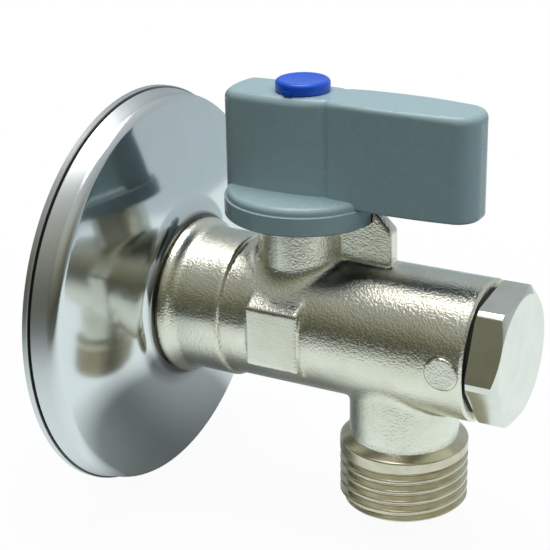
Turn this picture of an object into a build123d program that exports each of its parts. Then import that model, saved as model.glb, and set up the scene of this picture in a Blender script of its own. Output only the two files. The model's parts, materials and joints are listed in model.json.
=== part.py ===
from build123d import *
import os
from math import radians, sin, sqrt, tan

# Angle stop valve with filter, in millimetres.
# Frame: X = 0 is the finished wall, the inlet axis is X, the handle stands up along Z.
# The lever lies along +X, which is the open position.

# Layout
stem_axis_x = 31.9         # wall to stem axis
outlet_offset = 18.0       # stem axis to outlet axis
barrel_reach = 32.1        # stem axis to the end face of the barrel
inlet_reach = 12.5         # inlet tail behind the wall
outlet_drop = 29.0         # inlet axis to outlet end

# Fits
running_gap = 0.05         # radial gap of turning and screwed pieces
seat_gap = 0.1             # ball to seat
stop_gap = 0.4             # stop rib to the sides of the skirt window
lift_gap = 0.3             # height left free between still and turning faces
ring_gap = 0.02            # gap of rings in their grooves
pick_range = 0.02          # how near a corner lies to the place it is picked by

# Forged body, outside
pipe_thread_r = 20.955 / 2
thread_lead = 1.1          # chamfer at the ends of both pipe threads
tail_neck_r = 9.2          # thread run-out in front of the collar
tail_neck_length = 3.2
barrel_r = 11.38
barrel_edge = 0.4
collar_r = 12.0
collar_length = 11.2
collar_edge = 0.35
bead_r = 13.2
bead_width = 2.1
bead_back_drop = 0.5       # bead crest to its back edge
bead_sweep = 1.9           # length of the slope between bead and collar
pad_length = 9.2
pad_face_y = 11.9
pad_height = 9.8
pad_bevel_depth = 2.6
pad_bevel_rise = 1.7
boss_r = 7.5
boss_top_z = 19.2
boss_fillet = 1.6
rib_thickness = 2.7
rib_reach = 15.9           # stem axis to the end of the stop rib
rib_chamfer = 3.1
neck_r = 8.9
neck_fillet = 1.0
outlet_thread_length = 11.2
outlet_shoulder = 0.8
spot_r = 2.6
spot_inset = 3.2           # spot centre to the end of the barrel
spot_proud = 0.12

# Water way
inlet_bore_r = 5.5
outlet_bore_r = 6.5
chamber_r = 8.4

# Ball and seats
ball_r = 7.5
ball_bore_r = 4.5
ball_web = 0.7             # metal between bore and slot
seat_bore_r = 4.7
seat_back = 7.7            # ball centre to the ring's back face
retainer_length = 4.0
retainer_bore_r = 5.0
key_slot_width = 1.6
key_slot_depth = 1.2

# Stem
stem_r = 4.0
tang_thickness = 3.0
tang_width = 6.2
stem_shoulder_z = 13.4     # floor of the gland counterbore
stem_collar_r = 5.3
stem_collar_height = 1.5
slip_washer_height = 0.8
gland_thread_r = 6.0
stem_square = 5.5
stem_top_z = 29.2
oring_section = 1.4
oring_groove_width = 1.8
oring_pitch = 2.2
screw_r = 1.5
screw_length = 9.0

# Handle
skirt_r = 12.75
skirt_wall = 2.2
skirt_bottom_z = 18.2
lever_bottom_z = 21.3
roof_z = 20.6              # ceiling inside the skirt
shelf_r = 12.4
shelf_top_z = 22.6
shelf_round = 1.0
lever_top_z = 38.0
lever_reach = 30.3
hub_end_r = 12.6
hub_end_half = 4.7
hub_half = 5.2
crease_x = 5.8             # stem axis to the crease in the lever's sides
crease_half = 4.5
crease_round = 2.0
lever_half = 5.1
tip_half = 4.5
tip_round = 3.8
hub_round = 1.4
top_round = 1.2
core_wall = 1.8
core_top_wall = 2.0
socket_wall = 1.9
web_height = 2.0           # handle floor that the screw clamps
recess_r = 3.5

# Screw, washer and cap
screw_head_r = 2.75
screw_head_height = 2.0
screw_head_round = 0.6
driver_slot_width = 0.8
driver_slot_depth = 1.0
washer_r = 2.7
washer_height = 0.7
washer_split = 0.5
cap_r = 4.35
cap_height = 1.9
cap_round = 0.7
cap_bevel = 0.23
cap_spigot_length = 2.2

# Filter and plug
plug_thread_r = 9.0
plug_thread_length = 6.7
plug_thread_lead = 0.5
hex_across_flats = 20.0
hex_corner_r = 11.25
hex_height = 5.0
hex_turn = -7.0            # a corner stands this far from the front, in degrees
face_r = 9.9
face_angle = 30.0
gasket_height = 0.5
gasket_width = 0.9         # keeps the ring inside the hexagon's flats
plug_floor = 1.5
cup_r = 6.8
screen_r = 6.6
screen_wall = 0.4
end_ring_wall = 0.7
end_ring_length = 1.8
window_columns = 6
window_rows = 3
window_share = 0.6         # part of each step that is open

# Rosette
rosette_depth = 10.7       # wall to the collar's back face
sheet = 0.6
rim_r = 34.3
rim_lip = 1.0
band_r = 33.9
band_front_r = 33.4
band_length = 2.9
shoulder_round = 2.0
crown_r = 31.0
dome_bulge = 0.25
rosette_lip_r = 13.9
rosette_flare = 1.3
rosette_flare_width = 2.6
rosette_hole_r = 11.0

# Places that follow from the sizes above
outlet_x = stem_axis_x + outlet_offset
barrel_end_x = stem_axis_x + barrel_reach
collar_end_x = rosette_depth + collar_length
seat_front = stem_r + lift_gap
seat_shoulder_x = stem_axis_x - seat_back
retainer_x = stem_axis_x + seat_back
screen_x = retainer_x + retainer_length
plug_x = barrel_end_x + gasket_height
plug_tip_x = barrel_end_x - plug_thread_length + lift_gap
cup_floor_x = plug_x - plug_floor
rib_top_z = roof_z - lift_gap
collar_bottom_z = stem_shoulder_z + seat_gap
washer_z = collar_bottom_z + stem_collar_height
gland_z = washer_z + slip_washer_height
web_z = stem_top_z + lift_gap
recess_z = web_z + web_height
stem_bore_r = stem_r + running_gap


def turned_x(points):
    """Solid turned about the X axis from (x, radius) points."""
    outline = Polyline(*[(x, r, 0) for x, r in points], close=True)
    return revolve(make_face(outline), Axis.X)


def turned_z(points, axis_x=stem_axis_x):
    """Solid turned about an upright axis from (radius, z) points."""
    outline = Polyline(*[(r, 0, z) for r, z in points], close=True)
    return Pos(axis_x, 0, 0) * revolve(make_face(outline), Axis.Z)


def rod_x(radius, start, end):
    """Round bar along X."""
    return turned_x([(start, 0), (start, radius), (end, radius), (end, 0)])


def ring_x(inner, outer, start, end):
    """Flat ring about X."""
    return turned_x([(start, inner), (start, outer), (end, outer), (end, inner)])


def ring_z(inner, outer, low, high):
    """Flat ring about the stem axis."""
    return turned_z([(inner, low), (outer, low), (outer, high), (inner, high)])


def block(x0, x1, y0, y1, z0, z1):
    """Box between two corners."""
    box = Box(x1 - x0, y1 - y0, z1 - z0)
    return Pos((x0 + x1) / 2, (y0 + y1) / 2, (z0 + z1) / 2) * box


def barrel_line():
    """Inlet tail, bead, collar and barrel as one turned solid."""
    bead_back_r = bead_r - bead_back_drop
    bead_front_x = rosette_depth + bead_width
    sweep_x = bead_front_x + bead_sweep
    tail_neck_x = rosette_depth - tail_neck_length
    outline = [
        Polyline(
            (rosette_depth, bead_back_r),
            (rosette_depth, tail_neck_r),
            (tail_neck_x, tail_neck_r),
            (tail_neck_x - pipe_thread_r + tail_neck_r, pipe_thread_r),
            (thread_lead - inlet_reach, pipe_thread_r),
            (-inlet_reach, pipe_thread_r - thread_lead),
            (-inlet_reach, 0),
            (barrel_end_x, 0),
            (barrel_end_x, barrel_r - barrel_edge),
            (barrel_end_x - barrel_edge, barrel_r),
            (collar_end_x, barrel_r),
            (collar_end_x, collar_r - collar_edge),
            (collar_end_x - collar_edge, collar_r),
            (sweep_x, collar_r),
        ),
        Line((sweep_x, collar_r), (bead_front_x, (bead_r + collar_r) / 2)),
        ThreePointArc(
            (bead_front_x, (bead_r + collar_r) / 2),
            (rosette_depth + bead_width / 2, bead_r),
            (rosette_depth, bead_back_r),
        ),
    ]
    return revolve(make_face(outline), Axis.X)


def outlet_line():
    """Outlet neck and its pipe thread shank, turned about the outlet axis."""
    shank_z = outlet_thread_length - outlet_drop
    return turned_z(
        [
            (0, 0),
            (neck_r, 0),
            (neck_r, shank_z + outlet_shoulder),
            (pipe_thread_r, shank_z),
            (pipe_thread_r, thread_lead - outlet_drop),
            (pipe_thread_r - thread_lead, -outlet_drop),
            (0, -outlet_drop),
        ],
        outlet_x,
    )


def wrench_pads():
    """Flat pads on both sides of the barrel, bevelled above and below."""
    half = pad_height / 2
    inner_y = pad_face_y - pad_bevel_depth
    right = [(0, half + pad_bevel_rise), (inner_y, half + pad_bevel_rise), (pad_face_y, half)]
    left = [(-y, z) for y, z in reversed(right[1:])]
    upper = left + right
    lower = [(y, -z) for y, z in reversed(upper)]
    section = make_face(Polyline(*[(0, y, z) for y, z in upper + lower], close=True))
    start = stem_axis_x - pad_length / 2
    return Pos(start, 0, 0) * extrude(section, pad_length, dir=(1, 0, 0))


def stop_rib():
    """Upright rib on the barrel's crown, inside the window of the handle's skirt."""
    start = stem_axis_x + gland_thread_r + running_gap + lift_gap
    end = stem_axis_x + rib_reach
    profile = Polyline(
        (start, 0, 0),
        (end, 0, 0),
        (end, 0, rib_top_z - rib_chamfer),
        (end - rib_chamfer, 0, rib_top_z),
        (start, 0, rib_top_z),
        close=True,
    )
    return extrude(make_face(profile), rib_thickness / 2, dir=(0, 1, 0), both=True)


def forging_spot():
    """Round raised mark on the front of the barrel."""
    height = barrel_r + spot_proud
    disc = extrude(Plane.XZ * Circle(spot_r), height)
    return Pos(barrel_end_x - spot_inset, 0, 0) * disc


def water_way():
    """Inlet bore, ball seat chamber, plug thread, outlet bore and stem bore."""
    along = turned_x(
        [
            (-inlet_reach, 0),
            (-inlet_reach, inlet_bore_r),
            (seat_shoulder_x, inlet_bore_r),
            (seat_shoulder_x, chamber_r),
            (barrel_end_x - plug_thread_length, chamber_r),
            (barrel_end_x - plug_thread_length, plug_thread_r),
            (barrel_end_x, plug_thread_r),
            (barrel_end_x, 0),
        ]
    )
    down = turned_z(
        [
            (0, 0),
            (outlet_bore_r, 0),
            (outlet_bore_r, -outlet_drop),
            (0, -outlet_drop),
        ],
        outlet_x,
    )
    up = turned_z(
        [
            (0, 0),
            (stem_bore_r, 0),
            (stem_bore_r, stem_shoulder_z),
            (gland_thread_r, stem_shoulder_z),
            (gland_thread_r, boss_top_z),
            (0, boss_top_z),
        ]
    )
    return along + down + up


def valve_body():
    """Forging with all its bores."""
    barrel = barrel_line()
    boss = turned_z([(0, 0), (boss_r, 0), (boss_r, boss_top_z), (0, boss_top_z)])
    outlet = outlet_line()
    body = barrel + boss
    body = fillet(new_edges(barrel, boss, combined=body), boss_fillet)
    joined = body + outlet
    body = fillet(new_edges(body, outlet, combined=joined), neck_fillet)
    body = body + wrench_pads() + stop_rib() + forging_spot()
    return body - water_way()


def wall_rosette():
    """Pressed cup: lip, band, rounded shoulder, bowed dome and a flat ring under the collar."""
    band_end_x = rim_lip + band_length
    crown_x = band_end_x + shoulder_round
    shoulder_r = band_front_r - shoulder_round
    slant = shoulder_round * (1 - sin(radians(45)))
    flare_x = rosette_depth - rosette_flare
    flare_r = rosette_lip_r + rosette_flare_width
    bow_x = (crown_x + flare_x) / 2 + dome_bulge
    bow_r = (crown_r + flare_r) / 2
    back = rosette_depth - sheet
    outline = [
        Polyline((0, rim_r), (rim_lip, rim_r), (rim_lip, band_r), (band_end_x, band_front_r)),
        ThreePointArc(
            (band_end_x, band_front_r),
            (crown_x - slant, band_front_r - slant),
            (crown_x, shoulder_r),
        ),
        Polyline(
            (crown_x, shoulder_r),
            (crown_x, crown_r),
            (bow_x, bow_r),
            (flare_x, flare_r),
            (rosette_depth, rosette_lip_r),
            (rosette_depth, rosette_hole_r),
            (back, rosette_hole_r),
            (back, rosette_lip_r - sheet),
            (flare_x - sheet, flare_r - sheet),
            (bow_x - sheet, bow_r),
            (crown_x - sheet, crown_r),
            (crown_x - sheet, shoulder_r),
            (band_end_x, band_front_r - sheet),
            (rim_lip, band_r - sheet),
            (0, band_r - sheet),
            (0, rim_r),
        ),
    ]
    return revolve(make_face(outline), Axis.X)


def ball():
    """Ball with a through bore along the flow and a slot across its crown."""
    slot_half = tang_thickness / 2 + running_gap
    globe = Sphere(ball_r) - rod_x(ball_bore_r, -ball_r, ball_r)
    slot = block(-slot_half, slot_half, -ball_r, ball_r, ball_bore_r + ball_web, ball_r)
    return Pos(stem_axis_x, 0, 0) * (globe - slot)


def seat_ring(side):
    """Seat ring before (side -1) or behind (side +1) the ball."""
    hollow = ball_r + seat_gap
    front_r = sqrt(hollow**2 - seat_front**2)
    bore_x = sqrt(hollow**2 - seat_bore_r**2)
    middle_r = (front_r + seat_bore_r) / 2
    outer = chamber_r - running_gap
    outline = [
        Polyline(
            (side * seat_front, front_r),
            (side * seat_front, outer),
            (side * seat_back, outer),
            (side * seat_back, seat_bore_r),
            (side * bore_x, seat_bore_r),
        ),
        ThreePointArc(
            (side * bore_x, seat_bore_r),
            (side * sqrt(hollow**2 - middle_r**2), middle_r),
            (side * seat_front, front_r),
        ),
    ]
    return Pos(stem_axis_x, 0, 0) * revolve(make_face(outline), Axis.X)


def seat_retainer():
    """Screwed ring behind the outlet seat, with two slots for a key."""
    end = retainer_x + retainer_length
    outer = chamber_r - running_gap
    ring = ring_x(retainer_bore_r, outer, retainer_x, end)
    half = key_slot_width / 2
    return ring - block(end - key_slot_depth, end, -half, half, -outer, outer)


def oring_levels():
    """Heights of the two O-rings, centred in the stem bore below the gland."""
    middle = (chamber_r + stem_shoulder_z) / 2
    return middle - oring_pitch / 2, middle + oring_pitch / 2


def stem():
    """Spindle: tang, journal with two grooves, collar, square head and tapped top."""
    tang_foot_z = ball_bore_r + ball_web + seat_gap
    journal_z = sqrt(ball_r**2 - (tang_thickness / 2) ** 2) + lift_gap
    groove_r = stem_bore_r - oring_section - 2 * ring_gap
    points = [(0, journal_z), (stem_r, journal_z)]
    for level in oring_levels():
        low = level - oring_groove_width / 2
        high = level + oring_groove_width / 2
        points += [(stem_r, low), (groove_r, low), (groove_r, high), (stem_r, high)]
    points += [
        (stem_r, collar_bottom_z),
        (stem_collar_r, collar_bottom_z),
        (stem_collar_r, washer_z),
        (stem_r, washer_z),
        (stem_r, roof_z),
        (0, roof_z),
    ]
    half = tang_thickness / 2
    tang = block(-half, half, -tang_width / 2, tang_width / 2, tang_foot_z, journal_z)
    side = stem_square / 2
    head = block(-side, side, -side, side, roof_z, stem_top_z)
    tapped = turned_z(
        [
            (0, recess_z - screw_length - lift_gap),
            (screw_r + running_gap, recess_z - screw_length - lift_gap),
            (screw_r + running_gap, stem_top_z),
            (0, stem_top_z),
        ]
    )
    return turned_z(points) + Pos(stem_axis_x, 0, 0) * (tang + head) - tapped


def stem_oring(level):
    """O-ring squeezed in its groove: a six-sided section."""
    half = oring_section / 2
    cut = half * tan(radians(30))
    middle = stem_bore_r - ring_gap - half
    section = [
        (middle - half, level - cut),
        (middle, level - 2 * cut),
        (middle + half, level - cut),
        (middle + half, level + cut),
        (middle, level + 2 * cut),
        (middle - half, level + cut),
    ]
    return turned_z(section)


def gland_nut():
    """Ring nut flush with the boss, with two slots for a key."""
    outer = gland_thread_r - running_gap
    ring = ring_z(stem_bore_r, outer, gland_z, boss_top_z)
    half = key_slot_width / 2
    slot = block(-outer, outer, -half, half, boss_top_z - key_slot_depth, boss_top_z)
    return ring - Pos(stem_axis_x, 0, 0) * slot


def lever_outline():
    """Plan of the lever: two shallow bows on each side that meet in a crease."""
    hub_x = -sqrt(hub_end_r**2 - hub_end_half**2)
    tip_x = lever_reach - tip_round
    lower = [
        ThreePointArc((hub_x, -hub_end_half), ((hub_x + crease_x) / 2, -hub_half), (crease_x, -crease_half)),
        ThreePointArc((crease_x, -crease_half), ((crease_x + tip_x) / 2, -lever_half), (tip_x, -tip_half)),
        Line((tip_x, -tip_half), (lever_reach, -tip_half)),
    ]
    upper = [mirror(edge, Plane.XZ) for edge in lower]
    ends = [
        ThreePointArc((hub_x, hub_end_half), (-hub_end_r, 0), (hub_x, -hub_end_half)),
        Line((lever_reach, -tip_half), (lever_reach, tip_half)),
    ]
    plan = make_face(lower + upper + ends)
    corners = plan.vertices()
    tips = corners.filter_by(lambda v: abs(v.X - lever_reach) < pick_range)
    plan = fillet(tips, tip_round)
    creases = plan.vertices().filter_by(lambda v: abs(v.X - crease_x) < pick_range)
    plan = fillet(creases, crease_round)
    hubs = plan.vertices().filter_by(lambda v: abs(v.X - hub_x) < pick_range)
    return fillet(hubs, hub_round)


def lever_cores():
    """Pockets that hollow the moulding from below."""
    half = crease_half - core_wall
    ceiling = lever_top_z - core_top_wall
    socket_end = stem_square / sqrt(2) + socket_wall
    cavity_r = skirt_r - skirt_wall
    hub_end = sqrt(cavity_r**2 - half**2)
    hub_front = block(socket_end, hub_end, -half, half, roof_z, ceiling)
    hub_rear = block(-hub_end, -socket_end, -half, half, roof_z, ceiling)
    lever = block(skirt_r + lift_gap, lever_reach - core_wall, -half, half, lever_bottom_z, ceiling)
    return hub_front + hub_rear + lever


def handle():
    """Lever, round shelf and skirt in one moulding."""
    bar = Pos(0, 0, lever_bottom_z) * extrude(lever_outline(), lever_top_z - lever_bottom_z)
    bar = fillet(bar.faces().sort_by(Axis.Z)[-1].edges(), top_round)
    shelf = Pos(0, 0, roof_z) * extrude(Circle(shelf_r), shelf_top_z - roof_z)
    shelf = fillet(shelf.faces().sort_by(Axis.Z)[-1].edges(), shelf_round)
    skirt = Pos(0, 0, skirt_bottom_z) * extrude(Circle(skirt_r), lever_bottom_z - skirt_bottom_z)
    cavity = Pos(0, 0, skirt_bottom_z) * extrude(Circle(skirt_r - skirt_wall), roof_z - skirt_bottom_z)
    edge = rib_thickness / 2 + stop_gap
    window = block(-edge, 2 * skirt_r, -edge, 2 * skirt_r, skirt_bottom_z, roof_z)
    side = stem_square / 2 + running_gap
    socket = block(-side, side, -side, side, roof_z, web_z)
    screw_hole = Pos(0, 0, web_z) * extrude(Circle(screw_r + running_gap), web_height)
    recess = Pos(0, 0, recess_z) * extrude(Circle(recess_r), lever_top_z - recess_z)
    moulding = bar + shelf + skirt - cavity - window - lever_cores()
    return Pos(stem_axis_x, 0, 0) * (moulding - socket - screw_hole - recess)


def handle_screw():
    """Slotted pan-head screw."""
    head_z = recess_z + washer_height
    top_z = head_z + screw_head_height
    body = turned_z(
        [
            (0, recess_z - screw_length),
            (screw_r, recess_z - screw_length),
            (screw_r, head_z),
            (screw_head_r, head_z),
            (screw_head_r, top_z - screw_head_round),
            (screw_head_r - screw_head_round, top_z),
            (0, top_z),
        ]
    )
    half = driver_slot_width / 2
    slot = block(-screw_head_r, screw_head_r, -half, half, top_z - driver_slot_depth, top_z)
    return body - Pos(stem_axis_x, 0, 0) * slot


def screw_washer():
    """Split lock washer."""
    ring = ring_z(screw_r + running_gap, washer_r, recess_z, recess_z + washer_height)
    half = washer_split / 2
    split = block(0, 2 * washer_r, -half, half, recess_z, recess_z + washer_height)
    return ring - Pos(stem_axis_x, 0, 0) * split


def handle_cap():
    """Cap with a bevelled rim and a spigot in the handle's recess."""
    spigot_r = recess_r - running_gap
    top_z = lever_top_z + cap_height
    return turned_z(
        [
            (0, lever_top_z - cap_spigot_length),
            (spigot_r, lever_top_z - cap_spigot_length),
            (spigot_r, lever_top_z),
            (cap_r, lever_top_z),
            (cap_r, top_z - cap_round),
            (cap_r - cap_bevel, top_z - cap_bevel),
            (cap_r - cap_round, top_z),
            (0, top_z),
        ]
    )


def filter_plug():
    """Screw plug: chamfered hexagon head, thread shank and the cup that holds the screen."""
    face_x = plug_x + hex_height
    shank_r = plug_thread_r - running_gap
    bevel = (hex_corner_r - face_r) * tan(radians(face_angle))
    prism = extrude(
        Plane.YZ * RegularPolygon(hex_across_flats / 2, 6, major_radius=False, rotation=180 - hex_turn),
        hex_height,
    )
    turned_head = turned_x(
        [
            (plug_x, 0),
            (plug_x, hex_corner_r),
            (face_x - bevel, hex_corner_r),
            (face_x, face_r),
            (face_x, 0),
        ]
    )
    shank = turned_x(
        [
            (plug_tip_x, cup_r),
            (plug_tip_x, shank_r - plug_thread_lead),
            (plug_tip_x + plug_thread_lead, shank_r),
            (plug_x, shank_r),
            (plug_x, 0),
            (cup_floor_x, 0),
            (cup_floor_x, cup_r),
        ]
    )
    return (Pos(plug_x, 0, 0) * prism & turned_head) + shank


def plug_gasket():
    """Flat ring between barrel and plug."""
    return ring_x(plug_thread_r, plug_thread_r + gasket_width, barrel_end_x, plug_x)


def filter_screen():
    """Perforated tube: rows of windows between the end ring and the plug's cup."""
    start = screen_x + ring_gap
    end = cup_floor_x - seat_gap
    tube = ring_x(screen_r - screen_wall, screen_r, start, end)
    first = start + end_ring_length
    step = (plug_tip_x - first) / window_rows
    width = window_share * 2 * screen_r * sin(radians(180 / window_columns))
    for row in range(window_rows):
        low = first + step * (row + (1 - window_share) / 2)
        for column in range(window_columns // 2):
            bar = block(low, low + step * window_share, -screen_r, screen_r, -width / 2, width / 2)
            tube = tube - Rot(360 * column / window_columns, 0, 0) * bar
    return tube


def filter_end_ring():
    """Collar on the open end of the screen, against the seat retainer."""
    inner = screen_r + ring_gap
    return ring_x(inner, inner + end_ring_wall, screen_x, screen_x + end_ring_length)


low_ring_z, high_ring_z = oring_levels()
nodes = {
    "valve_body": valve_body(),
    "wall_rosette": wall_rosette(),
    "ball": ball(),
    "inlet_seat": seat_ring(-1),
    "outlet_seat": seat_ring(1),
    "seat_retainer": seat_retainer(),
    "stem": stem(),
    "stem_oring_lower": stem_oring(low_ring_z),
    "stem_oring_upper": stem_oring(high_ring_z),
    "stem_slip_washer": ring_z(stem_bore_r, stem_collar_r, washer_z, gland_z),
    "gland_nut": gland_nut(),
    "handle": handle(),
    "handle_screw": handle_screw(),
    "screw_washer": screw_washer(),
    "handle_cap": handle_cap(),
    "filter_plug": filter_plug(),
    "plug_gasket": plug_gasket(),
    "filter_screen": filter_screen(),
    "filter_end_ring": filter_end_ring(),
}

os.makedirs("parts", exist_ok=True)
for name, shape in nodes.items():
    export_step(shape, f"parts/{name}.step")
    print(f"{name}: {shape.volume:.1f} mm3")
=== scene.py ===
# %% [markdown]
# # Angle stop valve with a filter
# A stop valve under a basin has few kinds of surface: a forged and blasted body, a spun cover
# plate, a turned plug, a moulded lever. This lesson builds each of them the way it comes to be
# in the workshop, around a CAD model that already holds every size. The CAD model is loaded
# first and stays where it is, so a piece made here goes straight to its place.

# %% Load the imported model
import json
import math

import bmesh
import bpy
import numpy as np
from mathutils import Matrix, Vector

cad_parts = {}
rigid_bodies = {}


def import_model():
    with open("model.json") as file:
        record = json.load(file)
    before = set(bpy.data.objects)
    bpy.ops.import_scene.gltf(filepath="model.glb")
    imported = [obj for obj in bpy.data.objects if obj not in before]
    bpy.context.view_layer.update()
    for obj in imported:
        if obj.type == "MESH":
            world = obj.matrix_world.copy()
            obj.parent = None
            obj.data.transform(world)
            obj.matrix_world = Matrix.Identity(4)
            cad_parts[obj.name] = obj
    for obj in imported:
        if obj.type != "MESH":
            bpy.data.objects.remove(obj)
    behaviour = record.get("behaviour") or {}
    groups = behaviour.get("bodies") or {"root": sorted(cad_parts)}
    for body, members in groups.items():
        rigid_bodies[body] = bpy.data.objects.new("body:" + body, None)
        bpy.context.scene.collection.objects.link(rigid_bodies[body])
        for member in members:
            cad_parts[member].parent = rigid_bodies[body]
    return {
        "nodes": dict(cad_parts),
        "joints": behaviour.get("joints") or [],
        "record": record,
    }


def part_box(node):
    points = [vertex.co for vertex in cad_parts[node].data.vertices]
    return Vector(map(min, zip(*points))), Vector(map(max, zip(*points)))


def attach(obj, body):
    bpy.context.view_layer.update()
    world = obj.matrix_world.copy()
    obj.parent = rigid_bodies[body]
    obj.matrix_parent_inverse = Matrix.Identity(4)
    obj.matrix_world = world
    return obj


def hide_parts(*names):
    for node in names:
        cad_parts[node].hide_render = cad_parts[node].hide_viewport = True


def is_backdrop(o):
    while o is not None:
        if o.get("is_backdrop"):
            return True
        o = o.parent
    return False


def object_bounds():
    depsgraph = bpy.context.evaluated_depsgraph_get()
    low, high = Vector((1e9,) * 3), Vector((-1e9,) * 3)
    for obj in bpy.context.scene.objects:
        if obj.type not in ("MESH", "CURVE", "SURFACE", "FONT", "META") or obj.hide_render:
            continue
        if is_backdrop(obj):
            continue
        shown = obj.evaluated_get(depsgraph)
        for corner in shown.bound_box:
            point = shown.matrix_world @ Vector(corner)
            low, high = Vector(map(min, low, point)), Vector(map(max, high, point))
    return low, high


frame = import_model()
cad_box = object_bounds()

import openvdb
from mathutils import Matrix, Vector

nodes = frame["nodes"]
print("pieces of the CAD model:", ", ".join(sorted(nodes)))

# %% [markdown]
# Blender works in metres and a valve is drawn in millimetres, so one factor turns the one into
# the other. The axes of the stem and of the outlet, and the radius of the pipe thread, are
# read from the model's joints and mounts rather than typed again.

# %% Sizes that come from the model
MM = 0.001
joints = {joint["name"]: joint for joint in frame["joints"]}
mounts = {mount["name"]: mount for mount in frame["record"]["mounts"]}


def box_mm(node):
    """Lowest and highest corner of a CAD node, in millimetres."""
    low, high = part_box(node)
    return low / MM, high / MM


stem_x = joints["lever_turn"]["pos_m"][0] / MM
outlet_x = mounts["outlet_thread"]["pos_m"][0] / MM
pipe_r = mounts["outlet_thread"]["dims"]["r_mm"]
body_low, body_high = box_mm("valve_body")
rosette_high = box_mm("wall_rosette")[1]
handle_low, handle_high = box_mm("handle")
cap_low, cap_high = box_mm("handle_cap")
plug_low, plug_high = box_mm("filter_plug")
screen_low, screen_high = box_mm("filter_screen")
print(f"stem axis at {stem_x:.1f} mm, outlet axis at {outlet_x:.1f} mm")
print(f"pipe radius {pipe_r:.2f} mm")

# %% [markdown]
# The camera comes first, because everything after it is compared with the picture. It stands
# a quarter of a metre away with a long lens, turned to the right of the valve's front and a
# little above it. Three axes, written out, give the camera's matrix and keep its small roll.

# %% Camera
camera_turn = math.radians(29.07)
camera_lift = math.radians(21.8)
camera_roll = math.radians(-1.1)
camera_target = Vector((26.3, 0.0, 6.0))
camera_distance = 262.6
focal_px = 1595
picture_px = 550

back = Vector((
    math.sin(camera_turn) * math.cos(camera_lift),
    -math.cos(camera_turn) * math.cos(camera_lift),
    math.sin(camera_lift),
))
right = Vector((math.cos(camera_turn), math.sin(camera_turn), 0))
up = back.cross(right)
across = right * math.cos(camera_roll) + up * math.sin(camera_roll)
upward = up * math.cos(camera_roll) - right * math.sin(camera_roll)

camera = bpy.data.objects.new("camera", bpy.data.cameras.new("camera"))
bpy.context.collection.objects.link(camera)
camera.data.sensor_width = 36
camera.data.lens = focal_px * camera.data.sensor_width / picture_px
camera.data.clip_start = 0.01
camera.matrix_world = Matrix((across, upward, back)).transposed().to_4x4()
camera.matrix_world.translation = (camera_target + back * camera_distance) * MM
bpy.context.scene.camera = camera
print(f"lens {camera.data.lens:.1f} mm")

# %% [markdown]
# A few small tools make most of the pieces. `turned` is the lathe: a profile spun about an
# axis. `block` is a box between two corners. `combine` joins, cuts or keeps what two solids
# share, and `settle` freezes a piece's modifiers into its mesh. `arc` and `bend` give the
# points of round and smooth stretches of a profile.

# %% Mesh tools
def place(name, mesh):
    """Puts a mesh in the scene as a piece."""
    piece = bpy.data.objects.new(name, mesh)
    bpy.context.collection.objects.link(piece)
    return piece


def close_up(name, bm):
    """Welds a bmesh, turns its faces outwards and makes a piece of it."""
    bmesh.ops.remove_doubles(bm, verts=bm.verts, dist=1e-7)
    bmesh.ops.recalc_face_normals(bm, faces=bm.faces)
    mesh = bpy.data.meshes.new(name)
    bm.to_mesh(mesh)
    bm.free()
    return place(name, mesh)


def turned(name, profile, axis="X", axis_x=0.0, steps=160):
    """Closed solid turned from (along, radius) points in millimetres."""
    bm = bmesh.new()
    if axis == "X":
        corner_shade = [Vector((along, radius, 0)) for along, radius in profile]
    else:
        corner_shade = [Vector((radius, 0, along)) for along, radius in profile]
    verts = [bm.verts.new(corner * MM) for corner in corner_shade]
    pairs = list(zip(range(len(verts)), [*range(1, len(verts)), 0]))
    edges = [
        bm.edges.new((verts[a], verts[b]))
        for a, b in pairs
        if profile[a][1] > 0 or profile[b][1] > 0
    ]
    bmesh.ops.spin(
        bm,
        geom=verts + edges,
        axis=(1, 0, 0) if axis == "X" else (0, 0, 1),
        angle=math.tau,
        steps=steps,
        use_merge=True,
    )
    bmesh.ops.translate(bm, verts=bm.verts, vec=(axis_x * MM, 0, 0))
    return close_up(name, bm)


def block(name, x, y, z):
    """Box between pairs of (low, high) in millimetres."""
    bm = bmesh.new()
    bmesh.ops.create_cube(bm, size=1)
    for vert in bm.verts:
        pick = [pair[1] if side > 0 else pair[0] for pair, side in zip((x, y, z), vert.co)]
        vert.co = Vector(pick) * MM
    return close_up(name, bm)


def settle(piece):
    """Freezes the modifiers of a piece into its mesh."""
    graph = bpy.context.evaluated_depsgraph_get()
    shaped = bpy.data.meshes.new_from_object(piece.evaluated_get(graph))
    piece.modifiers.clear()
    rough = piece.data
    piece.data = shaped
    bpy.data.meshes.remove(rough)


def combine(piece, tool, operation):
    """UNION, DIFFERENCE or INTERSECT of two solids; the tool is used up."""
    step = piece.modifiers.new("combine", "BOOLEAN")
    step.operation = operation
    step.solver = "MANIFOLD"
    step.object = tool
    settle(piece)
    bpy.data.objects.remove(tool)


def arc(along, radius, size, start, end, count=6):
    """Points of a circular arc in a profile; angles in degrees from the axis direction."""
    angles = np.radians(np.linspace(start, end, count))
    return [(along + size * math.cos(a), radius + size * math.sin(a)) for a in angles]


def bend(start, control, end, count=16):
    """Points of a smooth bend from start to end, drawn towards the control point."""
    points = []
    for t in np.linspace(0, 1, count):
        weights = ((1 - t) ** 2, 2 * t * (1 - t), t**2)
        points.append(tuple(
            sum(w * p[k] for w, p in zip(weights, (start, control, end))) for k in (0, 1)
        ))
    return points


def shade(piece, sharp=32):
    """Smooth shading that stops at edges sharper than an angle in degrees."""
    piece.data.shade_smooth()
    piece.data.set_sharp_from_angle(angle=math.radians(sharp))


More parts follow.
